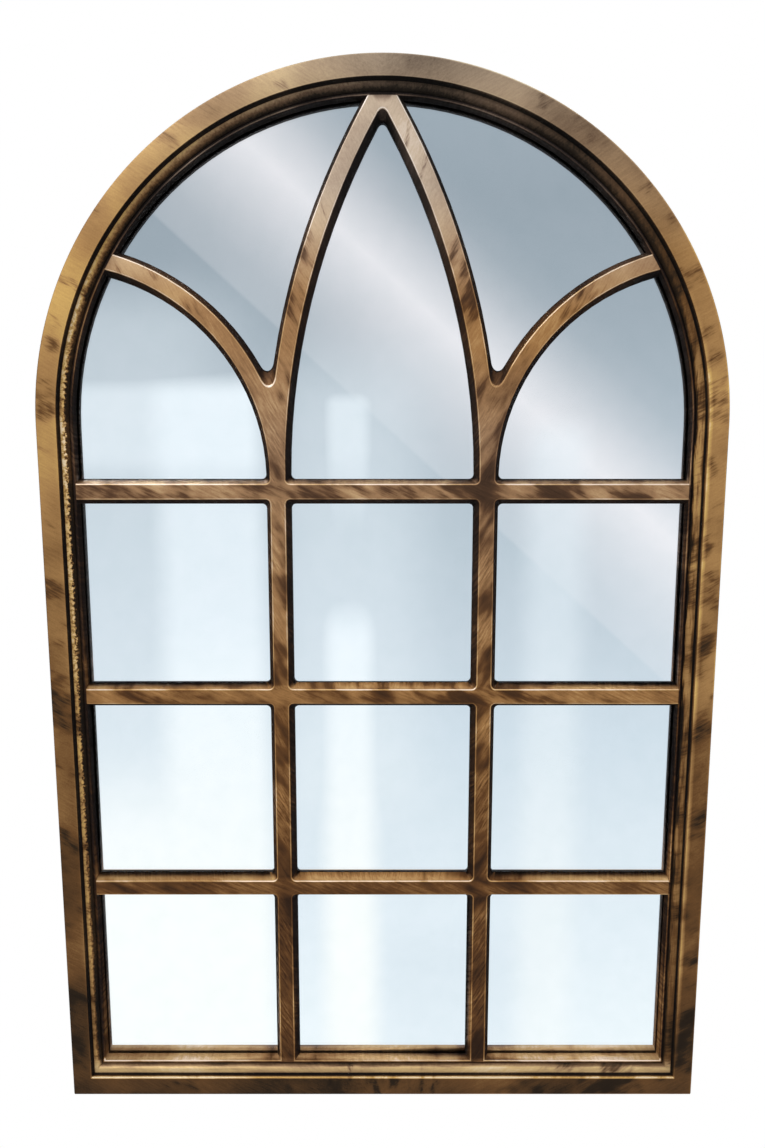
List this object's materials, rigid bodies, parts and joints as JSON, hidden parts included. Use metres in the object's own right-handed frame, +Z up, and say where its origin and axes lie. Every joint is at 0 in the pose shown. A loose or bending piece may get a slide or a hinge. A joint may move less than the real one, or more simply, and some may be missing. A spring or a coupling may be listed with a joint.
{
  "type": "wall mirror",
  "caption": "Round-arched wall mirror with a moulded bronze frame and a raised tracery grille over one sheet of mirror glass, with hanging rings on the back.",
  "frame": {"origin": "middle of the mirror's bounding box, at the level of its foot", "axes": "+Z up along the legs, -Y out of the front, +Y towards the wall, +X to the viewer's right"},
  "size_m": [0.5, 0.029, 0.784],
  "materials": {
    "antique_bronze": "moulded plastic brushed with antique bronze and dark brown paint",
    "mirror": "silvered float glass",
    "foam": "white polyethylene foam sheet",
    "hardboard": "brown hardboard",
    "zinc_steel": "zinc-plated steel",
    "bumper_rubber": "black rubber"
  },
  "bodies": {
    "mirror": {"frame_moulding": "antique_bronze", "tracery_grille": "antique_bronze", "mirror_glass": "mirror", "cushion_sheet": "foam", "backing_board": "hardboard", "turn_button_screws": "zinc_steel", "hanger_strap_left": "zinc_steel", "hanger_strap_right": "zinc_steel", "hanger_screws": "zinc_steel", "wall_bumper_1": "bumper_rubber", "wall_bumper_2": "bumper_rubber", "wall_bumper_3": "bumper_rubber", "wall_bumper_4": "bumper_rubber"},
    "button_1": {"turn_button_1": "zinc_steel"},
    "button_2": {"turn_button_2": "zinc_steel"},
    "button_3": {"turn_button_3": "zinc_steel"},
    "button_4": {"turn_button_4": "zinc_steel"},
    "button_5": {"turn_button_5": "zinc_steel"},
    "button_6": {"turn_button_6": "zinc_steel"},
    "button_7": {"turn_button_7": "zinc_steel"},
    "button_8": {"turn_button_8": "zinc_steel"},
    "ring_left": {"hanger_ring_left": "zinc_steel"},
    "ring_right": {"hanger_ring_right": "zinc_steel"}
  },
  "joints": [
    {"name": "button_1_turn", "type": "hinge", "parent": "mirror", "child": "button_1", "pos_m": [0.243, 0.01015, 0.14418], "axis": [0, 1, 0], "range_deg": [-90, 90]},
    {"name": "button_2_turn", "type": "hinge", "parent": "mirror", "child": "button_2", "pos_m": [-0.243, 0.01015, 0.14418], "axis": [0, 1, 0], "range_deg": [-90, 90]},
    {"name": "button_3_turn", "type": "hinge", "parent": "mirror", "child": "button_3", "pos_m": [0.243, 0.01015, 0.38982], "axis": [0, 1, 0], "range_deg": [-90, 90]},
    {"name": "button_4_turn", "type": "hinge", "parent": "mirror", "child": "button_4", "pos_m": [-0.243, 0.01015, 0.38982], "axis": [0, 1, 0], "range_deg": [-90, 90]},
    {"name": "button_5_turn", "type": "hinge", "parent": "mirror", "child": "button_5", "pos_m": [0, 0.01015, 0.007], "axis": [0, 1, 0], "range_deg": [-90, 90]},
    {"name": "button_6_turn", "type": "hinge", "parent": "mirror", "child": "button_6", "pos_m": [0.18615, 0.01015, 0.6902], "axis": [0, 1, 0], "range_deg": [-90, 90]},
    {"name": "button_7_turn", "type": "hinge", "parent": "mirror", "child": "button_7", "pos_m": [0, 0.01015, 0.777], "axis": [0, 1, 0], "range_deg": [-90, 90]},
    {"name": "button_8_turn", "type": "hinge", "parent": "mirror", "child": "button_8", "pos_m": [-0.18615, 0.01015, 0.6902], "axis": [0, 1, 0], "range_deg": [-90, 90]},
    {"name": "ring_left_swing", "type": "hinge", "parent": "mirror", "child": "ring_left", "pos_m": [-0.243, 0.01158, 0.504], "axis": [1, 0, 0], "range_deg": [0, 180]},
    {"name": "ring_right_swing", "type": "hinge", "parent": "mirror", "child": "ring_right", "pos_m": [0.243, 0.01158, 0.504], "axis": [1, 0, 0], "range_deg": [0, 180]}
  ]
}
